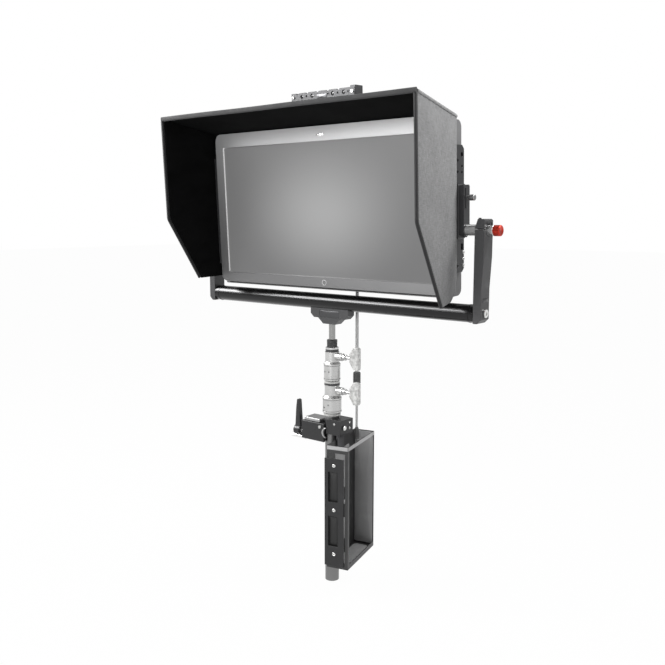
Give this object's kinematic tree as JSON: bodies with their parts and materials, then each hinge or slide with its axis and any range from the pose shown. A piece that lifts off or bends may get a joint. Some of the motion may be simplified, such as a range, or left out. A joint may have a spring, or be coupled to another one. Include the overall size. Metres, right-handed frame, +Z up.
{
  "type": "monitor mount",
  "caption": "Yoke mount for a hooded monitor: two arms on a round tube, tilt shafts with knobs, stand spigot, telescoping risers, column clamp and holder box.",
  "frame": {"origin": "centre of the column's flat lower end, where the picture cuts it and a stand's base would hold it", "axes": "+Z up along the column, X along the yoke tube, the screen faces -Y"},
  "size_m": [0.889, 0.3127, 1.209],
  "materials": {
    "steel_tube": "satin",
    "chrome": "polished",
    "casting": "cast satin",
    "nylon": "white",
    "rubber": "black",
    "black_metal": "black satin",
    "anodised": "dark anodised",
    "gloss_tube": "black gloss anodised",
    "red": "red anodised",
    "housing": "grey",
    "bezel": "mid grey",
    "screen": "grey satin screen",
    "cloth": "grey mottled cloth outside, black velvet inside",
    "binding": "black binding",
    "sheet": "black powder coat",
    "grey_metal": "grey"
  },
  "bodies": {
    "stand": {"column_tube": "steel_tube", "column_plug": "rubber", "collar_lower": "casting", "bumper_lower": "rubber", "ring_lower": "nylon", "clamp_fixed_jaw": "black_metal", "clamp_bolt": "chrome", "holder_box": "sheet", "holder_hanger": "anodised", "holder_plate": "sheet", "cable_upper": "rubber", "cable_coupling": "rubber", "cable_lower": "rubber", "cable_plug": "rubber"},
    "clamp_slider": {"clamp_sliding_jaw": "black_metal", "clamp_top_plate": "grey_metal"},
    "ratchet": {"clamp_lever": "black_metal", "clamp_screw": "steel_tube", "clamp_guide": "steel_tube"},
    "release": {"release_lever": "grey_metal"},
    "lower_knob": {"wing_screw_lower": "chrome"},
    "first_riser": {"riser_lower": "steel_tube", "collar_upper": "casting", "bumper_upper": "rubber", "ring_upper": "nylon"},
    "upper_knob": {"wing_screw_upper": "chrome"},
    "second_riser": {"riser_upper": "steel_tube", "adapter_flange": "anodised"},
    "lock_ring": {"adapter_knurl": "black_metal"},
    "yoke": {"yoke_pin": "chrome", "yoke_block": "anodised", "yoke_tube": "gloss_tube", "arm_left": "anodised", "arm_right": "anodised", "arm_bolt_left": "steel_tube", "arm_bolt_right": "steel_tube"},
    "cradle": {"shaft_left": "steel_tube", "shaft_right": "steel_tube", "bracket_left": "anodised", "bracket_right": "anodised"},
    "knob_left": {"end_knob_left": "red"},
    "knob_right": {"end_knob_right": "red"},
    "thumb_left": {"thumb_screw_left": "steel_tube"},
    "thumb_right": {"thumb_screw_right": "steel_tube"},
    "display": {"cage_plate_left": "anodised", "cage_plate_right": "anodised", "bezel": "bezel", "screen": "screen", "rear_housing": "housing", "hood_left": "cloth", "hood_right": "cloth", "hood_top": "cloth", "hood_hem_top": "cloth", "hood_binding_left": "binding", "hood_binding_right": "binding", "handle_front": "anodised", "handle_end_left": "anodised", "handle_end_right": "anodised", "handle_bar": "chrome"},
    "button": {"power_button": "bezel"}
  },
  "joints": [
    {"name": "jaw_slide", "type": "slide", "parent": "stand", "child": "clamp_slider", "axis": [-1, 0, 0], "range_m": [0, 0.006]},
    {"name": "ratchet_turn", "type": "hinge", "parent": "clamp_slider", "child": "ratchet", "pos_m": [-0.1045, -0.005, 0.3745], "axis": [-1, 0, 0], "range_deg": [0, 1080]},
    {"name": "release_swing", "type": "hinge", "parent": "stand", "child": "release", "pos_m": [0.003, -0.029, 0.377], "axis": [0, 1, 0], "range_deg": [0, 35]},
    {"name": "lower_knob_turn", "type": "hinge", "parent": "stand", "child": "lower_knob", "pos_m": [0.05, 0, 0.491], "axis": [1, 0, 0], "range_deg": [-360, 90]},
    {"name": "first_riser_slide", "type": "slide", "parent": "stand", "child": "first_riser", "axis": [0, 0, 1], "range_m": [0, 0.35]},
    {"name": "upper_knob_turn", "type": "hinge", "parent": "first_riser", "child": "upper_knob", "pos_m": [0.05, 0, 0.576], "axis": [1, 0, 0], "range_deg": [-360, 90]},
    {"name": "second_riser_slide", "type": "slide", "parent": "first_riser", "child": "second_riser", "axis": [0, 0, 1], "range_m": [0, 0.35]},
    {"name": "lock_ring_turn", "type": "hinge", "parent": "second_riser", "child": "lock_ring", "pos_m": [0, 0, 0.605], "axis": [0, 0, 1], "range_deg": [-180, 180]},
    {"name": "pan", "type": "hinge", "parent": "second_riser", "child": "yoke", "pos_m": [0, 0, 0.64], "axis": [0, 0, 1], "range_deg": [-170, 170], "deforming": ["cable_upper"]},
    {"name": "tilt", "type": "hinge", "parent": "yoke", "child": "cradle", "pos_m": [0, 0, 0.885], "axis": [1, 0, 0], "range_deg": [-35, 12]},
    {"name": "knob_left_turn", "type": "hinge", "parent": "cradle", "child": "knob_left", "pos_m": [-0.4445, 0, 0.885], "axis": [1, 0, 0], "range_deg": [0, 720]},
    {"name": "knob_right_turn", "type": "hinge", "parent": "cradle", "child": "knob_right", "pos_m": [0.4445, 0, 0.885], "axis": [1, 0, 0], "range_deg": [-720, 0]},
    {"name": "thumb_left_turn", "type": "hinge", "parent": "cradle", "child": "thumb_left", "pos_m": [-0.38, 0.00141, 0.95313], "axis": [1, 0, 0], "range_deg": [0, 540]},
    {"name": "thumb_right_turn", "type": "hinge", "parent": "cradle", "child": "thumb_right", "pos_m": [0.38, 0.00141, 0.95313], "axis": [1, 0, 0], "range_deg": [-540, 0]},
    {"name": "display_rise", "type": "slide", "parent": "cradle", "child": "display", "axis": [0, -0.0454, 0.999], "range_m": [0, 0.04]},
    {"name": "button_press", "type": "slide", "parent": "display", "child": "button", "axis": [0, 0.999, 0.0454], "range_m": [0, 0.001], "stiffness_N_per_m": 300}
  ],
  "couplings": [
    {"joint": "jaw_slide", "follows": "ratchet_turn", "m_per_rad": 0.0003183}
  ]
}
